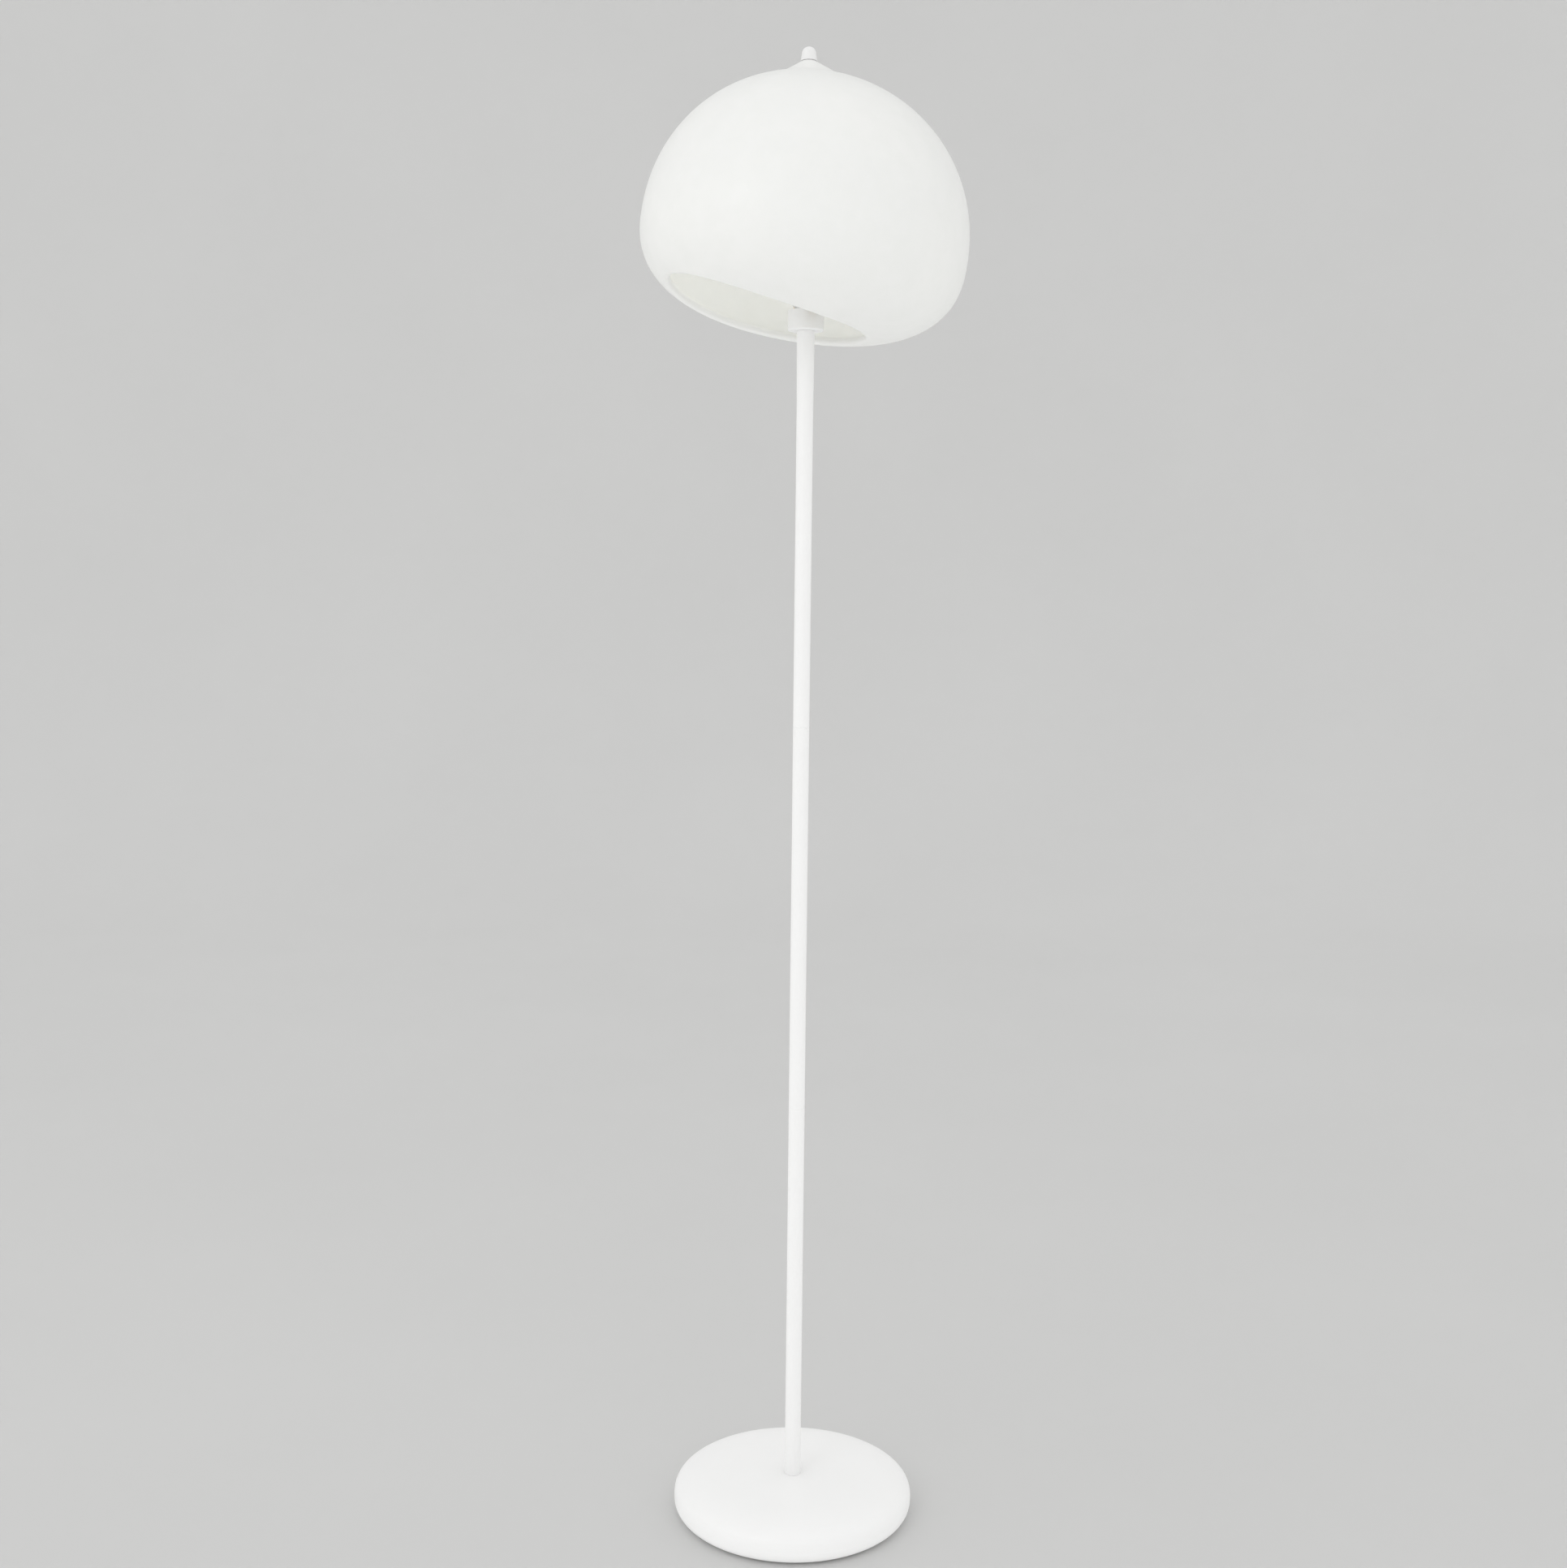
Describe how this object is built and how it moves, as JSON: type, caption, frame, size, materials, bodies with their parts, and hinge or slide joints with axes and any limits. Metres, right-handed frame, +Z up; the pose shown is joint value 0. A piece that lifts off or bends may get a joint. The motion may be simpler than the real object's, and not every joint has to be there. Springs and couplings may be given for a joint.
{
  "type": "mushroom floor lamp",
  "caption": "Tall floor lamp with a round base, a slim straight pole and a mushroom dome shade whose round slanted mouth opens to one side.",
  "frame": {"origin": "on the floor, under the pole's axis", "axes": "+Z up the pole; -X is the side that the mouth of the shade opens towards; +Y is the back, where the cord bushing is"},
  "size_m": [0.3261, 0.3264, 1.4998],
  "materials": {
    "shade_white": "satin, warm white moulded shell",
    "metal_white": "white powder coat, fine grain",
    "knob_white": "white enamel, satin",
    "cast_weight": "dark primer, as cast",
    "plate_steel": "dark grey paint",
    "felt_grey": "pressed felt",
    "bright_steel": "zinc plated",
    "brass": "turned, lightly dulled",
    "holder_plastic": "white moulded",
    "holder_ceramic": "white porcelain",
    "terminal_nylon": "natural nylon",
    "lead_rubber": "white sheath",
    "earth_green": "green and yellow sheath",
    "bulb_opal": "opal, smooth",
    "bulb_housing": "white"
  },
  "bodies": {
    "stand": {"floor_felt": "felt_grey", "base_plate": "plate_steel", "plate_screws": "bright_steel", "base_weight": "cast_weight", "base_shell": "metal_white", "cord_bushing": "terminal_nylon", "foot_stud": "bright_steel", "foot_washer": "bright_steel", "earth_tag": "brass", "toothed_washer": "bright_steel", "foot_nut": "bright_steel", "terminal_block": "terminal_nylon", "terminal_screws": "bright_steel", "earth_wire": "earth_green", "inner_lead": "lead_rubber", "pole_tube_1": "metal_white", "pole_tube_2": "metal_white", "pole_tube_3": "metal_white", "pole_joiner_1": "bright_steel", "pole_joiner_2": "bright_steel", "foot_bush": "bright_steel", "top_bush": "bright_steel", "top_nipple": "bright_steel", "hub_cup": "metal_white", "harp_saddle": "brass", "harp_wire": "brass", "harp_stud": "brass", "rest_washer": "terminal_nylon", "holder_cap": "holder_plastic", "holder_lock_nut": "bright_steel", "holder_shell": "holder_plastic", "holder_liner": "holder_ceramic", "socket_sleeve": "brass", "holder_contact": "brass"},
    "shade_body": {"shade": "shade_white", "neck_bush": "terminal_nylon", "shade_washer": "knob_white"},
    "finial_body": {"finial": "knob_white"},
    "bulb_body": {"bulb_contact": "bright_steel", "bulb_cap": "bright_steel", "bulb_housing": "bulb_housing", "bulb_globe": "bulb_opal"},
    "switch_body": {"switch_spindle": "brass", "switch_knob": "holder_plastic"},
    "ferrule_front_body": {"harp_ferrule_front": "brass"},
    "ferrule_back_body": {"harp_ferrule_back": "brass"}
  },
  "joints": [
    {"name": "shade_turn", "type": "hinge", "parent": "stand", "child": "shade_body", "pos_m": [0, 0, 1.478], "axis": [0, 0, 1], "continuous": true},
    {"name": "finial_turn", "type": "hinge", "parent": "stand", "child": "finial_body", "pos_m": [0, 0, 1.4905], "axis": [0, 0, 1], "continuous": true},
    {"name": "bulb_turn", "type": "hinge", "parent": "stand", "child": "bulb_body", "pos_m": [0, 0, 1.3], "axis": [0, 0, 1], "continuous": true},
    {"name": "switch_turn", "type": "hinge", "parent": "stand", "child": "switch_body", "pos_m": [-0.02, 0, 1.2694], "axis": [-1, 0, 0], "continuous": true},
    {"name": "ferrule_front_slide", "type": "slide", "parent": "stand", "child": "ferrule_front_body", "axis": [0, 0, 1], "range_m": [0, 0.012]},
    {"name": "ferrule_back_slide", "type": "slide", "parent": "stand", "child": "ferrule_back_body", "axis": [0, 0, 1], "range_m": [0, 0.012]}
  ]
}
